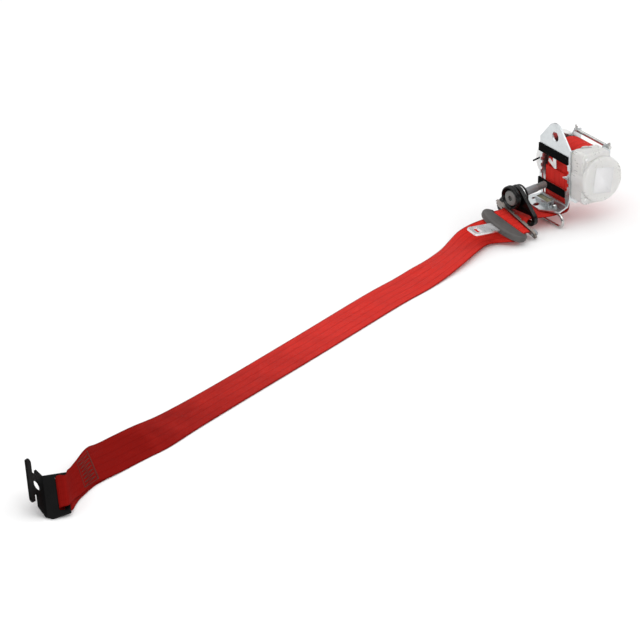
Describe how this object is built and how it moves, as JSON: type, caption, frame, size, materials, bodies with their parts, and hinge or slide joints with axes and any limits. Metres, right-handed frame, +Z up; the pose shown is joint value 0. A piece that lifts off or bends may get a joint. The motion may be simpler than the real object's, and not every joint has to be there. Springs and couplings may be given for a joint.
{
  "type": "seat belt assembly",
  "caption": "Three-point seat belt with an inertia reel retractor, pillar loop and bolt, steel guide bar, latch tongue on the webbing and a bent steel end anchor.",
  "frame": {"origin": "middle of the footprint, on the floor that the belt lies on", "axes": "+X from the end anchor towards the retractor, +Y to the left of the belt seen from the end anchor, +Z up"},
  "size_m": [0.9178, 0.4136, 0.1125],
  "materials": {
    "frame_steel": "zinc plated, scuffed",
    "black_tape": "black foam tape",
    "rod_steel": "plated rod",
    "spool_plastic": "moulded",
    "webbing": "woven polyester, red",
    "white_plastic": "moulded",
    "lock_steel": "stamped",
    "ball_steel": "polished ball",
    "clear_cover": "milky translucent moulding",
    "pale_cover": "pale moulding",
    "spring_steel": "blued strip",
    "black_plastic": "fine grain",
    "grey_plastic": "moulded",
    "insert_plastic": "ribbed insert",
    "rivet_steel": "pressed",
    "bolt_steel": "dull zinc",
    "boot_rubber": "matt",
    "washer_chrome": "bright",
    "sleeve_steel": "turned",
    "bar_steel": "stamped, bright",
    "tongue_plastic": "fine grain",
    "latch_steel": "polished edge",
    "anchor_paint": "black, satin"
  },
  "bodies": {
    "retractor": {"bolt_boot": "boot_rubber", "bush_left": "white_plastic", "bush_right": "white_plastic", "chrome_washer": "washer_chrome", "cover_rivets": "black_plastic", "end_loop": "webbing", "foot_rivet": "rivet_steel", "frame": "frame_steel", "guide_bar": "bar_steel", "guide_hoop": "rod_steel", "guide_nut": "grey_plastic", "guide_pocket": "grey_plastic", "lap_strap": "webbing", "lever_pin": "lock_steel", "pawl_pin": "lock_steel", "pillar_loop": "black_plastic", "pocket_insert": "insert_plastic", "return_spring": "spring_steel", "rubber_washer": "boot_rubber", "sensor_cover": "clear_cover", "sensor_housing": "white_plastic", "spring_cover": "pale_cover", "strap_end": "webbing", "tape_lower": "black_tape", "tape_upper": "black_tape", "tie_bar": "rod_steel", "webbing_feed": "webbing", "webbing_mid": "webbing", "window_tab": "rod_steel"},
    "spool": {"spool": "spool_plastic", "webbing_roll": "webbing", "torsion_bar": "rod_steel", "ratchet_wheel": "lock_steel", "inertia_disc": "lock_steel", "spring_arbor": "white_plastic"},
    "pawl": {"lock_pawl": "lock_steel"},
    "sensor_lever": {"sensor_lever": "white_plastic"},
    "sensor_ball": {"sensor_ball": "ball_steel"},
    "bolt": {"anchor_bolt": "bolt_steel", "spacer_sleeve": "sleeve_steel"},
    "tongue": {"tongue_cover": "tongue_plastic", "latch_plate": "latch_steel", "webbing_tongue": "webbing", "strap_rise": "webbing"},
    "end_anchor": {"end_anchor": "anchor_paint"}
  },
  "joints": [
    {"name": "spool_spin", "type": "hinge", "parent": "retractor", "child": "spool", "pos_m": [0.43039, 0.16078, 0.056], "axis": [0, 1, 0], "continuous": true},
    {"name": "pawl_swing", "type": "hinge", "parent": "retractor", "child": "pawl", "pos_m": [0.41989, 0.12778, 0.0363], "axis": [0, -1, 0], "range_deg": [0, 9]},
    {"name": "lever_lift", "type": "hinge", "parent": "retractor", "child": "sensor_lever", "pos_m": [0.40389, 0.11928, 0.0466], "axis": [0, -1, 0], "range_deg": [0, 12]},
    {"name": "ball_roll", "type": "hinge", "parent": "retractor", "child": "sensor_ball", "pos_m": [0.41139, 0.11928, 0.0405], "axis": [0, 1, 0], "continuous": true},
    {"name": "bolt_turn", "type": "hinge", "parent": "retractor", "child": "bolt", "pos_m": [0.33819, 0.16258, 0.0352], "axis": [0.9882, 0.139, 0.065], "continuous": true},
    {"name": "tongue_slide", "type": "slide", "parent": "retractor", "child": "tongue", "axis": [-0.9379, -0.347, 0], "range_m": [0, 0.12]},
    {"name": "anchor_swing", "type": "hinge", "parent": "retractor", "child": "end_anchor", "pos_m": [-0.41651, -0.18623, 0.01537], "axis": [0.3352, 0.8082, 0.4842], "range_deg": [0, 35]}
  ]
}
